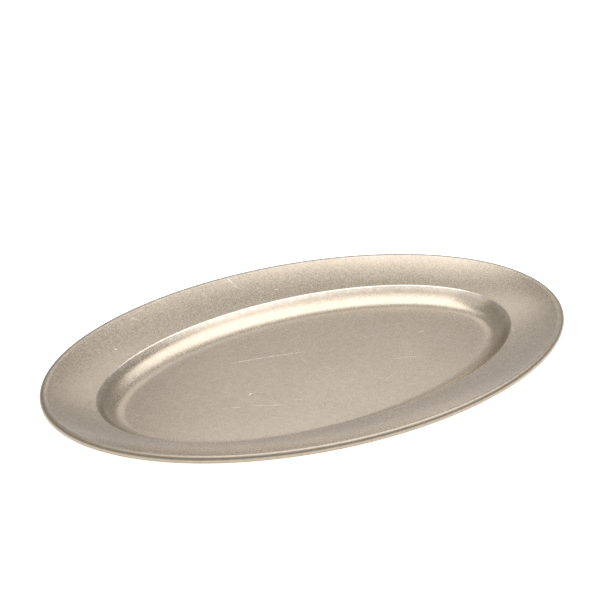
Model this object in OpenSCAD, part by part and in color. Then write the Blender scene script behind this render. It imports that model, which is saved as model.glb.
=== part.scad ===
// Oval serving tray: one pressed metal sheet whose edge is curled round a closed steel hoop.
// The origin is the centre of the underside. +X runs along the long axis and +Z is up.
// Every curve of the tray is one oval of eight circular arcs, offset inwards or outwards.

/* [Oval] */
// Radius of the two end arcs, measured along the shoulder
end_radius = 61; // [50:0.5:66]
// Radius of the four middle arcs, measured along the shoulder
middle_radius = 145.5; // [120:0.5:170]
// Radius of the two side arcs, measured along the shoulder
side_radius = 297; // [270:0.5:340]

/* [Sheet] */
// Thickness of the sheet
sheet = 0.9; // [0.6:0.1:1.2]

/* [Well] */
// Depth of the floor below the shoulder
well_depth = 11; // [9:0.5:16]
// Slope of the wall, in degrees
wall_slope = 44; // [38:1:46]
// Radius of the cove between the floor and the wall
cove_radius = 25; // [12:1:25]
// Radius of the shoulder between the wall and the rim
shoulder_radius = 3; // [1.5:0.5:5]

/* [Rim] */
// Width of the rim, from the shoulder to the outside of the rolled edge
rim_width = 43.05; // [36:0.05:50]
// Slope of the rim where it leaves the shoulder, in degrees
rim_slope_in = 10; // [4:1:12]
// Slope of the rim where it meets the rolled edge, in degrees
rim_slope_out = 20; // [13:1:28]
// Diameter of the hoop inside the rolled edge
wire_diameter = 4; // [2:0.1:5]
// Gap left between the end of the curl and the underside of the rim
seam_gap = 0.5; // [0.3:0.1:1.5]

/* [Hidden] */
$fn = 96;

hoop_gap = 0.05;          // clearance between the hoop and the curled sheet
cove_step = 4;            // degrees between the points of the cove and the shoulder
rim_step = 1;             // degrees between the points of the rim
curl_step = 10;           // degrees between the points of the curl
flat_overlap = 12;        // width of the flat ring that the floor plate joins
plate_steps = 8;          // edges of the floor plate along each arc
wedge_reach = 1000;       // how far a wedge runs, well past the tray
wedge_height = 60;        // height of a wedge, more than the tray's

// The arcs meet in these directions. They are exact unit vectors, so neighbours share one plane.
end_meets_middle = [0.8, 0.6];
middle_meets_side = [0.352, 0.936];

// Centres of the arcs in the quarter where X and Y are both positive. Each centre lies on the
// line on which its arc meets the next one, and the side arc's centre lies on the Y axis.
middle_to_side = (side_radius - middle_radius) * middle_meets_side;
end_to_middle = (middle_radius - end_radius) * end_meets_middle;
end_centre = [middle_to_side.x + end_to_middle.x, 0];
middle_centre = end_centre - end_to_middle;
side_centre = middle_centre - middle_to_side;

// The section is drawn with X as the distance outside the shoulder oval and Y as the height.
// The shoulder oval lies where the shoulder arc has turned halfway down to the wall.
function around(c, r, a) = c + r * [cos(a), sin(a)];
function arc(c, r, from, to, step) =
    let (n = max(1, ceil(abs(to - from) / step)))
    [for (i = [0 : n]) around(c, r, from + (to - from) * i / n)];

shoulder_centre = [0, sheet + well_depth]
    + shoulder_radius * [sin(wall_slope / 2), -cos(wall_slope / 2)];
wall_top = around(shoulder_centre, shoulder_radius, 90 + wall_slope);
cove_rise = cove_radius * (1 - cos(wall_slope));
wall_run = (wall_top.y - sheet - cove_rise) / tan(wall_slope);
cove_centre = [wall_top.x - wall_run - cove_radius * sin(wall_slope), sheet + cove_radius];

rim_start = around(shoulder_centre, shoulder_radius, 90 + rim_slope_in);
bead_radius = wire_diameter / 2 + hoop_gap + sheet;
rim_end_x = rim_width - bead_radius * (1 + sin(rim_slope_out));
rim_radius = (rim_end_x - rim_start.x) / (sin(rim_slope_out) - sin(rim_slope_in));
rim_centre = rim_start + rim_radius * [-sin(rim_slope_in), cos(rim_slope_in)];
bead_centre = rim_centre + (rim_radius + bead_radius) * [sin(rim_slope_out), -cos(rim_slope_out)];

// The sheet wraps the hoop until its outside would meet the underside of the rim, less the gap.
seam_turn = seam_gap / bead_radius * 180 / PI;
curl_wrap = 360 - acos((bead_radius - sheet) / bead_radius) - seam_turn;

// One face of the sheet, from the floor to the end of the curl, lowered by t along its normal.
function sheet_face(t) = concat(
    [[cove_centre.x - flat_overlap, sheet - t]],
    arc(cove_centre, cove_radius + t, 270, 270 + wall_slope, cove_step),
    arc(shoulder_centre, shoulder_radius - t, 90 + wall_slope, 90 + rim_slope_in, cove_step),
    arc(rim_centre, rim_radius + t, 270 + rim_slope_in, 270 + rim_slope_out, rim_step),
    arc(bead_centre, bead_radius - t, 90 + rim_slope_out, 90 + rim_slope_out - curl_wrap, curl_step)
);

function reversed(list) = [for (i = [len(list) - 1 : -1 : 0]) list[i]];

module sheet_section() polygon(concat(sheet_face(0), reversed(sheet_face(sheet))));

module hoop_section() translate(bead_centre) circle(d = wire_diameter);

// A full ring of the section, cut to the wedge between two directions from the ring's centre.
module ring_part(centre, radius, from, to) {
    translate([centre.x, centre.y, 0])
        intersection() {
            rotate_extrude() translate([radius, 0]) children();
            linear_extrude(height = wedge_height)
                polygon([[0, 0], wedge_reach * from, wedge_reach * to]);
        }
}

// The section swept once round the oval: two end parts, two side parts and four middle parts.
module round_oval() {
    across = [end_meets_middle.x, -end_meets_middle.y];
    back = [-middle_meets_side.x, middle_meets_side.y];
    for (flip_x = [0, 1]) mirror([flip_x, 0, 0]) {
        ring_part(end_centre, end_radius, across, end_meets_middle) children();
        for (flip_y = [0, 1]) mirror([0, flip_y, 0])
            ring_part(middle_centre, middle_radius, end_meets_middle, middle_meets_side) children();
    }
    for (flip_y = [0, 1]) mirror([0, flip_y, 0])
        ring_part(side_centre, side_radius, middle_meets_side, back) children();
}

// The floor inside the swept ring. Its corners lie halfway across the ring's flat part.
function quarter_corners() =
    let (
        inset = cove_centre.x - flat_overlap / 2,
        low = atan2(end_meets_middle.y, end_meets_middle.x),
        high = atan2(middle_meets_side.y, middle_meets_side.x)
    )
    concat(
        arc(end_centre, end_radius + inset, 0, low, low / plate_steps),
        arc(middle_centre, middle_radius + inset, low, high, (high - low) / plate_steps),
        arc(side_centre, side_radius + inset, high, 90, (90 - high) / plate_steps)
    );

module floor_plate() {
    upper = concat(quarter_corners(), [for (p = reversed(quarter_corners())) [-p.x, p.y]]);
    linear_extrude(height = sheet)
        polygon(concat(upper, [for (p = reversed(upper)) [p.x, -p.y]]));
}

module pressed_tray() {
    color([0.69, 0.64, 0.56]) {
        round_oval() sheet_section();
        floor_plate();
    }
}

module edge_wire() {
    color([0.45, 0.45, 0.46]) round_oval() hoop_section();
}

pressed_tray();
edge_wire();
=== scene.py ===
import math

import bmesh
import bpy
from mathutils import Matrix, Vector, noise


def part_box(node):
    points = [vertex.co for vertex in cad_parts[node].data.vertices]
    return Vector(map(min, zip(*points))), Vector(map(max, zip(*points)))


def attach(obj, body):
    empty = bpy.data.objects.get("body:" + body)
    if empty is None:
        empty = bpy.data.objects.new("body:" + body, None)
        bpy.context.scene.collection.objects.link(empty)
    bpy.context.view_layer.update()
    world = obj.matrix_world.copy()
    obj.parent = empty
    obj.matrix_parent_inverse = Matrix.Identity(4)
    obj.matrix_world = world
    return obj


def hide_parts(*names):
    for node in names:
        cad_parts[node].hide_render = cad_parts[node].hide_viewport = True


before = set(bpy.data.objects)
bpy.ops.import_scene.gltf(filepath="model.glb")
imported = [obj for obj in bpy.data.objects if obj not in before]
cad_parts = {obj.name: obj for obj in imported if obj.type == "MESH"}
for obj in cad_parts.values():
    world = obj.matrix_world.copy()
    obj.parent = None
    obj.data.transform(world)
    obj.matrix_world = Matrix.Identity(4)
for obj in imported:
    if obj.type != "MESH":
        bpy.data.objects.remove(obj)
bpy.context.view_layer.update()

mm = 0.001
highCorner = Vector(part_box("pressed_tray")[1])

# Camera: angles in degrees, lengths in metres, as a photographer would note them down
cameraSetup = {
    "heading": -35.49,      # swung this far from straight in front
    "elevation": 26.69,
    "distance": 1.9355,
    "lens": 149.78,
    "sensor": 36.0,
    "aimRight": -0.00785,   # where it aims, across and up from the shoulder line's centre
    "aimUp": 0.0456,
    "aimHeight": 0.0119,    # of the shoulder line above the table
}


def studioPoint(right, away, up):
    # a place given as the camera sees it: to its right, away from it, and up
    turn = math.radians(cameraSetup["heading"])
    across = Vector((math.cos(turn), math.sin(turn), 0.0))
    depth = Vector((-math.sin(turn), math.cos(turn), 0.0))
    return across * right + depth * away + Vector((0.0, 0.0, up))


def setCamera(setup):
    lift = math.radians(setup["elevation"])
    centre = Vector((0.0, 0.0, setup["aimHeight"]))
    reach = setup["distance"]
    place = centre + studioPoint(0.0, -math.cos(lift) * reach, math.sin(lift) * reach)
    upward = studioPoint(0.0, math.sin(lift), math.cos(lift))
    aim = centre + studioPoint(setup["aimRight"], 0.0, 0.0) + upward * setup["aimUp"]
    data = bpy.data.cameras.new("viewCamera")
    data.lens = setup["lens"]
    data.sensor_width = setup["sensor"]
    camera = bpy.data.objects.new("viewCamera", data)
    camera.location = place
    camera.rotation_euler = (aim - place).to_track_quat("-Z", "Y").to_euler()
    bpy.context.scene.collection.objects.link(camera)
    bpy.context.scene.camera = camera
    return camera


setCamera(cameraSetup)
print("camera set")

# The tray's form, in millimetres and degrees
trayForm = {
    "shoulderLong": 182.6,   # half axes of the shoulder line
    "shoulderShort": 103.9,
    "sheet": 0.9,
    "wellDepth": 11.0,
    "wallSlope": 44.0,
    "coveRadius": 25.0,
    "shoulderRadius": 3.0,
    "rimSlopeIn": 10.0,
    "rimSlopeOut": 20.0,
    "beadRadius": 2.95,
    "hoopRadius": 2.0,       # of the wire inside the curl
    "hoopSides": 24,
    "seamGap": 0.5,
    "stations": 432,         # steps round the oval
    "floorRings": 26,
}

# How far the pressing is out of true, in millimetres; out is measured from the shoulder line
unevenness = {
    "rimWave": 0.06,
    "rimFrom": 2.0,          # out where the rim's wave sets in, and how far it takes to
    "rimOver": 14.0,
    "floorWave": 0.08,
    "floorEdge": -22.0,      # out where the floor starts, and the way from there to its middle
    "floorReach": 80.0,
    "floorOver": 25.0,
    "crown": 0.65,           # keeps the underside just clear of the table
    "longWave": 95.0,        # size of the slow waves, of the quicker ones and the latter's share
    "shortWave": 38.0,
    "shortShare": 0.35,
    "edgeWave": 0.07,        # left by the roller on the curled edge
    "edgeSize": 11.667,
    "edgeOver": 50.0,        # degrees round the curl over which it sets in
    "edgeSeed": 3.3,
    "seed": 11,
    "shortSeed": 16,
}

# Wear and painted light by zone, on the upper and on the under face; the metal reads it back as a
# lighter shoulder line (partly wear polish, partly painted highlight) and a darker rolled edge
# (painted shade)
wearAndLightLevels = {"shoulder": (0.5, 0.2), "curl": (0.75, 0.0)}
arcSteps = {"cove": 14, "shoulder": 10, "rim": 16, "curl": 34}
ovalSteps = 7200             # short straight steps used to measure along the oval
joinGap = 1e-6               # points closer than this are one point
layerPerSeed = 0.37          # keeps the noise of different seeds apart in height

# Knocks in the rolled edge: direction round the oval in degrees, width and depth in millimetres
edgeKnocks = [
    (240.0, 1.5, 0.30),
    (262.5, 2.4, 0.20),
    (228.0, 1.4, 0.08),
    (301.0, 1.8, 0.08),
    (96.0, 2.2, 0.20),
    (41.0, 1.5, 0.25),
    (172.0, 2.6, 0.22),
]


def onArc(centre, radius, first, last, steps):
    points = []
    for i in range(steps + 1):
        turn = math.radians(first + (last - first) * i / steps)
        points.append((centre[0] + radius * math.cos(turn), centre[1] + radius * math.sin(turn)))
    return points


def traySection(form, drop):
    # one face of the sheet from the floor's edge to the end of the curl, as (out, up, zone),
    # lowered by drop along its normal; out is measured from the shoulder line
    wall = math.radians(form["wallSlope"])
    slopeIn = math.radians(form["rimSlopeIn"])
    slopeOut = math.radians(form["rimSlopeOut"])
    shoulder = form["shoulderRadius"]
    cove = form["coveRadius"]
    bead = form["beadRadius"]
    top = form["sheet"] + form["wellDepth"]
    shoulderMid = (shoulder * math.sin(wall / 2), top - shoulder * math.cos(wall / 2))
    wallTop = (
        shoulderMid[0] - shoulder * math.sin(wall),
        shoulderMid[1] + shoulder * math.cos(wall),
    )
    rise = cove * (1 - math.cos(wall))
    run = (wallTop[1] - form["sheet"] - rise) / math.tan(wall)
    coveMid = (wallTop[0] - run - cove * math.sin(wall), form["sheet"] + cove)
    rimStart = (
        shoulderMid[0] - shoulder * math.sin(slopeIn),
        shoulderMid[1] + shoulder * math.cos(slopeIn),
    )
    rimEnd = form["rimWidth"] - bead * (1 + math.sin(slopeOut))
    rimRadius = (rimEnd - rimStart[0]) / (math.sin(slopeOut) - math.sin(slopeIn))
    rimMid = (
        rimStart[0] - rimRadius * math.sin(slopeIn),
        rimStart[1] + rimRadius * math.cos(slopeIn),
    )
    beadMid = (
        rimMid[0] + (rimRadius + bead) * math.sin(slopeOut),
        rimMid[1] - (rimRadius + bead) * math.cos(slopeOut),
    )
    closing = math.degrees(math.acos((bead - form["sheet"]) / bead))
    wrap = 360 - closing - math.degrees(form["seamGap"] / bead)
    start = 90 + form["rimSlopeOut"]
    parts = [
        ("cove", coveMid, cove + drop, 270, 270 + form["wallSlope"]),
        ("shoulder", shoulderMid, shoulder - drop, 90 + form["wallSlope"], 90 + form["rimSlopeIn"]),
        ("rim", rimMid, rimRadius + drop, 270 + form["rimSlopeIn"], 270 + form["rimSlopeOut"]),
        ("curl", beadMid, bead - drop, start, start - wrap),
    ]
    section = []
    for zone, centre, radius, first, last in parts:
        points = onArc(centre, radius, first, last, arcSteps[zone])
        if section and math.dist(section[-1][:2], points[0]) < joinGap:
            section.pop()
        section += [(out, up, zone) for out, up in points]
    return section, beadMid


def ovalStations(form, count):
    # points spaced evenly along the shoulder line, each with its outward direction
    long, short = form["shoulderLong"], form["shoulderShort"]
    walk = [0.0]
    for i in range(ovalSteps):
        a, b = 2 * math.pi * i / ovalSteps, 2 * math.pi * (i + 1) / ovalSteps
        step = math.hypot(long * (math.cos(b) - math.cos(a)), short * (math.sin(b) - math.sin(a)))
        walk.append(walk[-1] + step)
    stations = []
    at = 0
    for k in range(count):
        want = walk[-1] * k / count
        while walk[at + 1] < want:
            at += 1
        part = (want - walk[at]) / (walk[at + 1] - walk[at])
        turn = 2 * math.pi * (at + part) / ovalSteps
        point = Vector((long * math.cos(turn), short * math.sin(turn)))
        normal = Vector((math.cos(turn) / long, math.sin(turn) / short)).normalized()
        stations.append((point, normal))
    return stations


def rimReach(form, point, normal):
    # how far along the normal the oval through the middle of the curl lies
    long = form["halfLong"] - form["beadRadius"]
    short = form["halfShort"] - form["beadRadius"]
    a = (normal.x / long) ** 2 + (normal.y / short) ** 2
    b = 2 * (point.x * normal.x / long**2 + point.y * normal.y / short**2)
    c = (point.x / long) ** 2 + (point.y / short) ** 2 - 1
    return (-b + math.sqrt(b * b - 4 * a * c)) / (2 * a)


def smoothRamp(value):
    value = min(max(value, 0.0), 1.0)
    return value * value * (3 - 2 * value)


def wander(x, y, size, seed):
    # smooth noise with features of about the given size in millimetres
    return noise.noise(Vector((x / size + seed, y / size - seed, layerPerSeed * seed)))


def pressingWave(x, y, out):
    # slow unevenness of the pressed sheet on the rim and the floor, none on the shoulder
    onRim = smoothRamp((out - unevenness["rimFrom"]) / unevenness["rimOver"])
    onFloor = smoothRamp((unevenness["floorEdge"] - out) / unevenness["floorOver"])
    slow = wander(x, y, unevenness["longWave"], unevenness["seed"])
    quick = wander(x, y, unevenness["shortWave"], unevenness["shortSeed"])
    slow += unevenness["shortShare"] * quick
    rim = slow * unevenness["rimWave"] * onRim
    return rim + (slow + unevenness["crown"]) * unevenness["floorWave"] * onFloor


def knockDepth(x, y):
    depth = 0.0
    for direction, width, deep in edgeKnocks:
        turn = math.radians(direction)
        aimX = highCorner.x / mm * math.cos(turn)
        aimY = highCorner.y / mm * math.sin(turn)
        gap = math.hypot(x - aimX, y - aimY) / width
        depth += deep * math.exp(-gap * gap)
    return depth


def fittedForm(form):
    # the form with its outer oval taken from the CAD box
    halfLong = highCorner.x / mm
    halfShort = highCorner.y / mm
    rimWidth = halfLong - form["shoulderLong"]
    return dict(form, halfLong=halfLong, halfShort=halfShort, rimWidth=rimWidth)


def meshObject(name, build):
    bmesh.ops.recalc_face_normals(build, faces=build.faces)
    mesh = bpy.data.meshes.new(name)
    build.to_mesh(mesh)
    build.free()
    mesh.shade_smooth()
    made = bpy.data.objects.new(name, mesh)
    bpy.context.scene.collection.objects.link(made)
    return made


def bridge(build, first, second):
    # faces between two closed rings of points
    count = len(first)
    for k in range(count):
        after = (k + 1) % count
        build.faces.new((first[k], first[after], second[after], second[k]))


def rolledPoint(form, point, normal, reach, beadMid, out, up, inner):
    # a point of the curl as the roller left it, with the knocks on its outer face
    swell = unevenness["edgeWave"] * wander(
        point.x, point.y, unevenness["edgeSize"], unevenness["edgeSeed"]
    )
    if not inner:
        swell -= knockDepth(point.x + normal.x * reach, point.y + normal.y * reach)
    radial = Vector((out - beadMid[0], up - beadMid[1]))
    angle = math.degrees(math.atan2(radial.y, radial.x))
    fade = 1.0
    if angle > -90:
        fade = smoothRamp((90 + form["rimSlopeOut"] - angle) / unevenness["edgeOver"])
    radial *= 1.0 + min(swell, 0.0) * fade / form["beadRadius"]
    return beadMid[0] + radial.x, beadMid[1] + radial.y


def buildTray(form):
    upper, beadMid = traySection(form, 0.0)
    lower, beadMid = traySection(form, form["sheet"])
    stations = ovalStations(form, form["stations"])
    faceBuild = bmesh.new()
    # a mask of wear and painted light, read back by the metal: painted highlight on the shoulder,
    # painted shade on the rolled edge
    wearAndLight = faceBuild.verts.layers.float.new("wearAndLight")

    def place(point, normal, out, up, zone, inner):
        reach = rimReach(form, point, normal)
        stretch = smoothRamp(out / form["rimWidth"]) if zone == "rim" else 0.0
        if zone == "curl":
            stretch = 1.0
            out, up = rolledPoint(form, point, normal, reach, beadMid, out, up, inner)
        out += (reach - beadMid[0]) * stretch
        x = point.x + normal.x * out
        y = point.y + normal.y * out
        up += pressingWave(x, y, out)
        vert = faceBuild.verts.new((x * mm, y * mm, up * mm))
        if zone in wearAndLightLevels:
            vert[wearAndLight] = wearAndLightLevels[zone][1 if inner else 0]
        return vert

    rings = []
    for section, inner in ((upper, False), (list(reversed(lower)), True)):
        for out, up, zone in section:
            rings.append([place(*station, out, up, zone, inner) for station in stations])
    for i in range(len(rings) - 1):
        bridge(faceBuild, rings[i + 1], rings[i])

    def fillFloor(edgeRing, height):
        ringCount = form["floorRings"]
        previous = edgeRing
        for j in range(1, ringCount):
            size = 1.0 - j / ringCount
            out = unevenness["floorEdge"] - (1.0 - size) * unevenness["floorReach"]
            ring = []
            for vert in edgeRing:
                x, y = vert.co.x / mm * size, vert.co.y / mm * size
                up = height + pressingWave(x, y, out)
                ring.append(faceBuild.verts.new((x * mm, y * mm, up * mm)))
            bridge(faceBuild, previous, ring)
            previous = ring
        out = unevenness["floorEdge"] - unevenness["floorReach"]
        up = height + pressingWave(0.0, 0.0, out)
        centre = faceBuild.verts.new((0.0, 0.0, up * mm))
        for k in range(len(previous)):
            after = (k + 1) % len(previous)
            faceBuild.faces.new((previous[k], previous[after], centre))

    fillFloor(rings[0], form["sheet"])
    fillFloor(rings[-1], 0.0)
    return meshObject("pressedTray", faceBuild)


trayForm = fittedForm(trayForm)
tray = buildTray(trayForm)
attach(tray, "root")
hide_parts("pressed_tray")
print("tray built")


def buildHoop(form):
    # the steel hoop, which lies along the middle of the curl
    beadMid = traySection(form, 0.0)[1]
    hoopBuild = bmesh.new()
    rings = []
    for point, normal in ovalStations(form, form["stations"]):
        reach = rimReach(form, point, normal)
        centre = point + normal * reach
        height = beadMid[1] + pressingWave(centre.x, centre.y, reach)
        ring = []
        circle = onArc((0.0, height), form["hoopRadius"], 0, 360, form["hoopSides"])
        for out, up in circle[:-1]:
            spot = centre + normal * out
            ring.append(hoopBuild.verts.new((spot.x * mm, spot.y * mm, up * mm)))
        rings.append(ring)
    for first, second in zip(rings, rings[1:] + rings[:1]):
        bridge(hoopBuild, first, second)
    return meshObject("edgeHoop", hoopBuild)


hoop = buildHoop(trayForm)
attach(hoop, "root")
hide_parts("edge_wire")
print("hoop built")


# The metal: warm grey, tumbled dull and then used. Colours are linear, sizes in millimetres
metalLook = {
    "dark": (0.375, 0.316, 0.232, 1.0),
    "light": (0.670, 0.580, 0.452, 1.0),
    "bareAndHighlight": (1.000, 0.950, 0.860, 1.0),     # fresh metal in a scratch, and the lighter shoulder line: partly wear polish, partly painted highlight
    "dirtAndShade": (0.270, 0.225, 0.165, 1.0),     # dark hairlines, and the painted shade on the rolled edge
    "roughLow": 0.21,
    "roughHigh": 0.30,
    "roughBand": (0.25, 0.75),              # part of the grain over which it goes from low to high
    "grainBand": (0.28, 0.72),
    "grainSize": 1.2,
    "cloudSize": 5.0,
    "stainSize": 60.0,
    "grainShare": 0.42,                     # how much each of them tells in the tone
    "cloudShare": 0.40,
    "stainShare": 0.30,
    "toneDrop": 0.10,
    "lightDriftAcross": 0.11,                    # painted light and shade: one long side lighter, the other darker, as the light falls across the tray
    "lightDriftFrom": -95.0,
    "lightDriftTo": 80.0,
    "shoulderLevel": 0.5,                     # mask value of the shoulder line, as the mesh holds it
    "shoulderBand": (0.05, 0.45),           # how far from it the polish and painted highlight hold and end
    # partly wear polish, partly painted highlight: how far the shoulder line is lightened
    "shoulderPolishAndHighlight": 0.22,
    "shineCloud": (0.35, 0.65),
    "shineLeast": 0.55,
    "edgeBand": (0.60, 0.75),               # mask value above which it is the rolled edge
    "edgeRough": 0.16,
    # painted shade: how far the rolled edge's upper face is darkened, standing in for the dim
    # reflection of the shaded table under the rim
    "edgePaintedShade": 0.5,
    "grainDepth": 0.0012,
    "scratchDepth": 0.03,
    "scratchGloss": -0.08,                  # a scratch is smoother than the grain
    "hairStrength": 0.45,
    "breakSize": 2.2,                       # scratches are broken up at this size
    "breakBand": (0.34, 0.56),
    "breakLeast": 0.35,
}

# Fields of short hairlines: direction in degrees, length, gap, share that shows
hairlineSets = [
    (17, 9, 1.3, 0.10),
    (71, 6, 1.5, 0.08),
    (128, 12, 1.7, 0.08),
    (160, 5, 1.2, 0.10),
]

# Scratches that can be made out one by one: start, end and width in millimetres, strength from
# 0 to 1, and how far the line bows out
floorScratches = [
    ((-48, 48), (19, 29), 0.55, 0.75, 1.2),
    ((65, -19), (88, -28), 0.50, 0.45, -0.6),
    ((-101, 15), (-93, 15), 0.60, 0.50, 0.0),
    ((-62, -6), (-57, -4), 0.70, 0.80, 0.0),
    ((-84, -15), (-77, -18), 0.60, 0.55, 0.0),
    ((-69, -22), (-49, -34), 0.50, 0.50, 0.4),
    ((-38, -31), (-27, -39), 0.50, 0.35, 0.0),
    ((12, 3), (17, -9), 0.45, 0.30, 0.3),
    ((112, 7), (116, 5), 0.60, 0.50, 0.0),
    ((-20, 58), (4, 66), 0.40, 0.22, 0.5),
    ((30, -48), (58, -37), 0.40, 0.20, -0.8),
    ((-128, -12), (-112, 4), 0.40, 0.25, 0.4),
    ((88, 34), (121, 22), 0.40, 0.22, 0.8),
]
rimScratches = [
    ((-61, 145), (-50, 138), 0.60, 0.85, 0.0),
    ((-86, 127), (-77, 122), 0.60, 0.75, 0.0),
    ((-119, 97), (-116, 95), 0.80, 0.80, 0.0),
    ((17, 144), (19, 128), 0.60, 0.50, 0.8),
    ((46, 115), (49, 113), 0.90, 0.70, 0.0),
    ((164, -46), (159, -55), 0.90, 0.45, 0.0),
    ((-171, -44), (-158, -66), 0.45, 0.25, 0.6),
    ((118, 96), (141, 83), 0.45, 0.25, -0.5),
    ((-38, -121), (-12, -127), 0.45, 0.25, 0.4),
]
darkHairlines = [
    ((-33, -9), (-17, -6), 0.60, 0.40, 0.6),
    ((-51, -7), (-52, -25), 0.50, 0.35, 0.9),
    ((-21, -47), (-23, -53), 0.70, 0.60, 0.0),
    ((41, 44), (63, 47), 0.45, 0.30, 0.5),
    ((97, -12), (104, -27), 0.45, 0.30, -0.4),
]

scratchProfile = (0.15, 1.2)    # full out to the first share of the width, gone at the second
scratchTaper = 0.30             # share of the length, from the middle, where the ends thin out
hairlineCore = (0.02, 0.12)
hairlineStretch = 4             # cells are this much longer than the hairlines in them
firstColumn = -2600             # where a shader's nodes start, and the step to the next one
columnStep = 20


class Nodes:
    # a small helper that adds and joins shader nodes from left to right
    def __init__(self, tree):
        self.tree = tree
        self.column = firstColumn

    def add(self, kind, inputs=None, **settings):
        node = self.tree.nodes.new(kind)
        node.location = (self.column, 0)
        self.column += columnStep
        for name, value in settings.items():
            setattr(node, name, value)
        for slot, value in (inputs or {}).items():
            if isinstance(value, bpy.types.NodeSocket):
                self.tree.links.new(value, node.inputs[slot])
            else:
                node.inputs[slot].default_value = value
        return node

    def math(self, operation, a, b=0.0, c=0.0, clamp=False):
        node = self.add("ShaderNodeMath", {0: a, 1: b, 2: c}, operation=operation, use_clamp=clamp)
        return node.outputs[0]

    def vector(self, operation, a, b):
        node = self.add("ShaderNodeVectorMath", {0: a, 1: b}, operation=operation)
        return node.outputs["Value"] if operation == "DOT_PRODUCT" else node.outputs["Vector"]

    def ramp(self, value, low, high, toLow=0.0, toHigh=1.0):
        inputs = {"Value": value, "From Min": low, "From Max": high, "To Min": toLow, "To Max": toHigh}
        node = self.add("ShaderNodeMapRange", inputs, interpolation_type="SMOOTHSTEP")
        return node.outputs["Result"]


def colourMix(nodes, factor, first, second):
    node = nodes.add("ShaderNodeMix", data_type="RGBA")
    sockets = [s for s in node.inputs if s.enabled]
    for socket, value in zip(sockets, (factor, first, second)):
        if isinstance(value, bpy.types.NodeSocket):
            nodes.tree.links.new(value, socket)
        else:
            socket.default_value = value
    return [s for s in node.outputs if s.enabled][0]


def noiseField(nodes, coords, size, detail, rough):
    inputs = {"Vector": coords, "Scale": 1.0 / (size * mm), "Detail": detail, "Roughness": rough}
    return nodes.add("ShaderNodeTexNoise", inputs).outputs["Fac"]


def scratchLine(nodes, coords, mark):
    # the mark's strength along one bowed line, 0 away from it
    (x0, y0), (x1, y1), width, strength, bow = mark
    length = math.hypot(x1 - x0, y1 - y0)
    dx, dy = (x1 - x0) / length, (y1 - y0) / length
    offset = nodes.vector("SUBTRACT", coords, (x0 * mm, y0 * mm, 0.0))
    along = nodes.math("DIVIDE", nodes.vector("DOT_PRODUCT", offset, (dx, dy, 0.0)), length * mm)
    across = nodes.vector("DOT_PRODUCT", offset, (-dy, dx, 0.0))
    if bow:
        arch = nodes.math("MULTIPLY", along, nodes.math("SUBTRACT", 1.0, along))
        across = nodes.math("SUBTRACT", across, nodes.math("MULTIPLY", arch, 4.0 * bow * mm))
    core, edge = (share * width * mm for share in scratchProfile)
    narrow = nodes.ramp(nodes.math("ABSOLUTE", across), core, edge, strength, 0.0)
    fromMiddle = nodes.math("ABSOLUTE", nodes.math("SUBTRACT", along, 0.5))
    ends = nodes.ramp(fromMiddle, scratchTaper, 0.5, 1.0, 0.0)
    return nodes.math("MULTIPLY", narrow, ends)


def scratchGroup(nodes, coords, marks):
    total = None
    for mark in marks:
        line = scratchLine(nodes, coords, mark)
        total = line if total is None else nodes.math("MAXIMUM", total, line)
    return total


def hairlineField(nodes, coords, turn, length, gap, share):
    # many short straight hairlines in one direction; only a share of them shows
    rotation = (0.0, 0.0, math.radians(turn))
    spin = nodes.add("ShaderNodeMapping", {"Vector": coords, "Rotation": rotation})
    scale = (1.0 / (length * hairlineStretch * mm), 1.0 / (gap * mm), 0.0)
    place = nodes.add("ShaderNodeMapping", {"Vector": spin.outputs[0], "Scale": scale})
    settings = {"Vector": place.outputs[0], "Scale": 1.0, "Randomness": 1.0}
    cells = nodes.add("ShaderNodeTexVoronoi", settings, voronoi_dimensions="2D")
    line = nodes.ramp(cells.outputs["Distance"], *hairlineCore, 1.0, 0.0)
    pick = nodes.add("ShaderNodeSeparateColor", {"Color": cells.outputs["Color"]})
    shown = nodes.math("GREATER_THAN", pick.outputs[0], 1.0 - share)
    faint = nodes.math("MULTIPLY", shown, pick.outputs[1])
    return nodes.math("MULTIPLY", line, faint)


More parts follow.
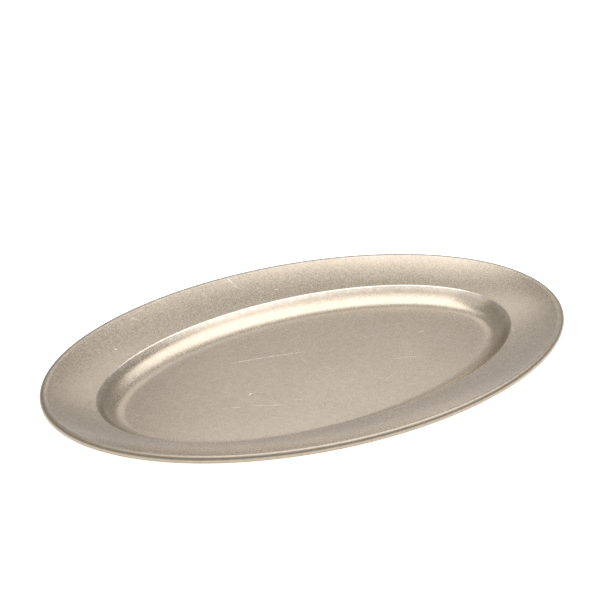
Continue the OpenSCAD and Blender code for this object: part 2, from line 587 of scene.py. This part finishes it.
def stoneWashedMetal(look):
    material = bpy.data.materials.new("stoneWashedMetal")
    material.use_nodes = True
    nodes = Nodes(material.node_tree)
    shader = material.node_tree.nodes["Principled BSDF"]
    shader.inputs["Metallic"].default_value = 1.0
    coords = nodes.add("ShaderNodeTexCoord").outputs["Object"]
    grain = noiseField(nodes, coords, look["grainSize"], 2.0, 0.6)
    cloud = noiseField(nodes, coords, look["cloudSize"], 3.0, 0.55)
    stain = noiseField(nodes, coords, look["stainSize"], 4.0, 0.5)
    lightDrift = look["lightDriftAcross"]
    tone = nodes.math("MULTIPLY", cloud, look["cloudShare"])
    tone = nodes.math("MULTIPLY_ADD", nodes.ramp(grain, *look["grainBand"]), look["grainShare"], tone)
    tone = nodes.math("MULTIPLY_ADD", stain, look["stainShare"], tone)
    # painted light and shade: the tone drifts from lighter on one long side to darker on the other,
    # standing in for how the light falls across the tray
    across = nodes.add("ShaderNodeSeparateXYZ", {"Vector": coords}).outputs["Y"]
    paintedLightDrift = nodes.ramp(across, look["lightDriftFrom"] * mm, look["lightDriftTo"] * mm, lightDrift, -lightDrift)
    tone = nodes.math("ADD", tone, paintedLightDrift)
    tone = nodes.math("SUBTRACT", tone, look["toneDrop"], clamp=True)
    colour = colourMix(nodes, tone, look["dark"], look["light"])

    hair = 0.0
    for hairlineSet in hairlineSets:
        hair = nodes.math("MAXIMUM", hair, hairlineField(nodes, coords, *hairlineSet))
    hair = nodes.math("MULTIPLY", hair, look["hairStrength"])
    marks = scratchGroup(nodes, coords, floorScratches + rimScratches)
    broken = noiseField(nodes, coords, look["breakSize"], 2.0, 0.6)
    broken = nodes.ramp(broken, *look["breakBand"], look["breakLeast"], 1.0)
    bright = nodes.math("MULTIPLY", nodes.math("MAXIMUM", hair, marks), broken)
    colour = colourMix(nodes, bright, colour, look["bareAndHighlight"])
    dark = nodes.math("MULTIPLY", scratchGroup(nodes, coords, darkHairlines), broken)
    colour = colourMix(nodes, dark, colour, look["dirtAndShade"])

    wearAndLight = nodes.add("ShaderNodeAttribute", attribute_name="wearAndLight").outputs["Fac"]
    # partly wear polish, partly painted highlight: the shoulder line is lightened towards bare metal
    # where its highlight line falls
    offShoulder = nodes.math("ABSOLUTE", nodes.math("SUBTRACT", wearAndLight, look["shoulderLevel"]))
    polishAndHighlight = nodes.ramp(offShoulder, *look["shoulderBand"], look["shoulderPolishAndHighlight"], 0.0)
    patchy = nodes.ramp(cloud, *look["shineCloud"], look["shineLeast"], 1.0)
    colour = colourMix(nodes, nodes.math("MULTIPLY", polishAndHighlight, patchy), colour, look["bareAndHighlight"])
    # painted shade: the rolled edge's upper face is darkened, standing in for the dim reflection of
    # the shaded table under the rim
    edgeShade = nodes.ramp(wearAndLight, *look["edgeBand"], 0.0, look["edgePaintedShade"])
    colour = colourMix(nodes, edgeShade, colour, look["dirtAndShade"])
    nodes.tree.links.new(colour, shader.inputs["Base Color"])

    rough = nodes.ramp(grain, *look["roughBand"], look["roughLow"], look["roughHigh"])
    rough = nodes.math("MULTIPLY_ADD", bright, look["scratchGloss"], rough)
    onEdge = nodes.ramp(wearAndLight, *look["edgeBand"])
    rough = nodes.math("MULTIPLY_ADD", onEdge, look["edgeRough"], rough)
    nodes.tree.links.new(rough, shader.inputs["Roughness"])

    height = nodes.math("MULTIPLY", grain, look["grainDepth"] * mm)
    cut = nodes.math("MULTIPLY", nodes.math("MAXIMUM", bright, dark), -look["scratchDepth"] * mm)
    relief = {"Height": nodes.math("ADD", height, cut), "Strength": 1.0, "Distance": 1.0}
    bump = nodes.add("ShaderNodeBump", relief)
    nodes.tree.links.new(bump.outputs["Normal"], shader.inputs["Normal"])
    return material


# The hoop's steel, drawn and never polished
wireLook = {
    "dark": (0.20, 0.19, 0.18, 1.0),
    "light": (0.46, 0.45, 0.43, 1.0),
    "streakSize": 1.5,
    "flatten": (1.0, 1.0, 6.0),     # draws the streaks out along the hoop
    "streakBand": (0.3, 0.7),
    "roughLow": 0.35,
    "roughHigh": 0.6,
}


def drawnWire(look):
    material = bpy.data.materials.new("drawnWire")
    material.use_nodes = True
    nodes = Nodes(material.node_tree)
    shader = material.node_tree.nodes["Principled BSDF"]
    shader.inputs["Metallic"].default_value = 1.0
    coords = nodes.add("ShaderNodeTexCoord").outputs["Object"]
    flow = nodes.add("ShaderNodeMapping", {"Vector": coords, "Scale": look["flatten"]}).outputs[0]
    streak = noiseField(nodes, flow, look["streakSize"], 4.0, 0.6)
    colour = colourMix(nodes, streak, look["dark"], look["light"])
    nodes.tree.links.new(colour, shader.inputs["Base Color"])
    rough = nodes.ramp(streak, *look["streakBand"], look["roughLow"], look["roughHigh"])
    nodes.tree.links.new(rough, shader.inputs["Roughness"])
    return material


tray.data.materials.append(stoneWashedMetal(metalLook))
hoop.data.materials.append(drawnWire(wireLook))
print("metals made")

# Floor and light
studioLook = {
    "floor": (0.90, 0.90, 0.90, 1.0),
    "floorSize": 12.0,
    "floorRough": 0.9,
    "floorShine": 0.1,
    "glow": 0.85,            # the table is lit a little from inside, so shadows stay faint
    "world": (1.0, 0.99, 0.975, 1.0),
    "worldStrength": 0.44,
    "lamp": (0.97, 0.98, 1.07),
    "steep": 0.9,            # a lamp that looks down more steeply than this is set by the camera
}
# name, place (right, away, up) in metres, aim (right, away, up), width, depth, power in watts
softLights = [
    ("overheadBox", (0.30, 0.376, 0.90), (0.30, 0.376, 0.0), 1.00, 0.57, 4.3),
    ("middleBox", (0.31, -0.03, 0.90), (0.31, -0.03, 0.0), 1.18, 0.24, 1.5),
    ("frontBox", (0.31, -0.34, 0.90), (0.31, -0.34, 0.0), 1.18, 0.38, 1.1),
    ("backRightBox", (0.59, 0.77, 0.90), (0.59, 0.77, 0.0), 0.62, 0.30, 0.85),
    ("leftBox", (-0.57, 0.05, 0.90), (-0.57, 0.05, 0.0), 0.62, 0.80, 1.0),
    ("rimWash", (0.05, 0.78, 0.90), (0.05, 0.78, 0.0), 0.90, 0.24, 0.42),
    ("backPanel", (0.02, 2.20, 1.50), (0.02, 0.0, 1.50), 0.62, 0.90, 1.45),
    ("lowPanel", (0.05, 2.20, 0.60), (0.05, 0.0, 0.60), 0.50, 0.80, 0.15),
    ("horizonStrip", (0.05, 2.20, 0.17), (0.05, 0.0, 0.17), 1.20, 0.30, 0.7),
]


def makeFloor(look):
    half = look["floorSize"] / 2
    mesh = bpy.data.meshes.new("studioFloor")
    corners = [(-half, -half, 0.0), (half, -half, 0.0), (half, half, 0.0), (-half, half, 0.0)]
    mesh.from_pydata(corners, [], [(0, 1, 2, 3)])
    floor = bpy.data.objects.new("studioFloor", mesh)
    bpy.context.scene.collection.objects.link(floor)
    paint = bpy.data.materials.new("floorPaint")
    paint.use_nodes = True
    shader = paint.node_tree.nodes["Principled BSDF"]
    shader.inputs["Base Color"].default_value = look["floor"]
    shader.inputs["Roughness"].default_value = look["floorRough"]
    shader.inputs["Specular IOR Level"].default_value = look["floorShine"]
    shader.inputs["Emission Color"].default_value = look["floor"]
    shader.inputs["Emission Strength"].default_value = look["glow"]
    mesh.materials.append(paint)


def facingTurn(place, aim):
    # turns a light towards its aim, with its edges square to the camera's heading
    behind = (place - aim).normalized()
    upright = Vector((0.0, 0.0, 1.0))
    if behind.z > studioLook["steep"]:
        upright = studioPoint(0.0, 1.0, 0.0)
    right = upright.cross(behind).normalized()
    return Matrix((right, behind.cross(right), behind)).transposed().to_euler()


def addSoftLight(name, place, aim, width, depth, power):
    data = bpy.data.lights.new(name, "AREA")
    data.shape = "RECTANGLE"
    data.size = width
    data.size_y = depth
    data.energy = power
    data.color = studioLook["lamp"]
    lamp = bpy.data.objects.new(name, data)
    lamp.location = studioPoint(*place)
    lamp.rotation_euler = facingTurn(studioPoint(*place), studioPoint(*aim))
    bpy.context.scene.collection.objects.link(lamp)


def setWorld(look):
    world = bpy.data.worlds.new("studioWorld")
    world.use_nodes = True
    background = world.node_tree.nodes["Background"]
    background.inputs["Color"].default_value = look["world"]
    background.inputs["Strength"].default_value = look["worldStrength"]
    bpy.context.scene.world = world


makeFloor(studioLook)
for light in softLights:
    addSoftLight(*light)
setWorld(studioLook)
bpy.context.scene.view_settings.view_transform = "Standard"
print("studio set")
